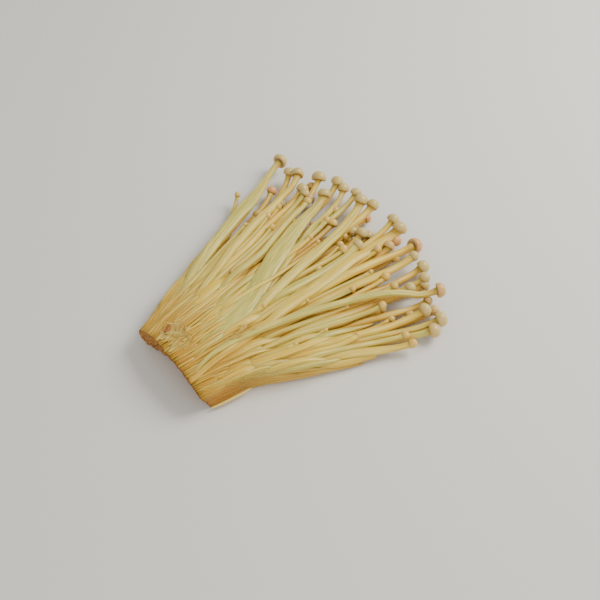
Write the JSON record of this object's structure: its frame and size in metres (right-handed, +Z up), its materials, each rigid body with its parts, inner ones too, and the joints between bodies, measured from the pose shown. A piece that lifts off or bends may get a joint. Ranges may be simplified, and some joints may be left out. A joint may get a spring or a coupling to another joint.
{
  "type": "enoki mushroom bunch",
  "caption": "Fan of slender stems with small round caps, grown together at a cut root and lying flat, as enoki is cooked and served.",
  "frame": {"origin": "on the surface that the bunch lies on, below the middle of its bounding box", "axes": "+Y from the cut root to the caps, +X to the right as seen from above with the caps pointing away, +Z up from the surface"},
  "size_m": [0.132, 0.1362, 0.0156],
  "materials": {
    "flesh": "moist, slightly translucent ivory flesh"
  },
  "bodies": {
    "root": {"enoki_bunch": "flesh"}
  },
  "joints": []
}
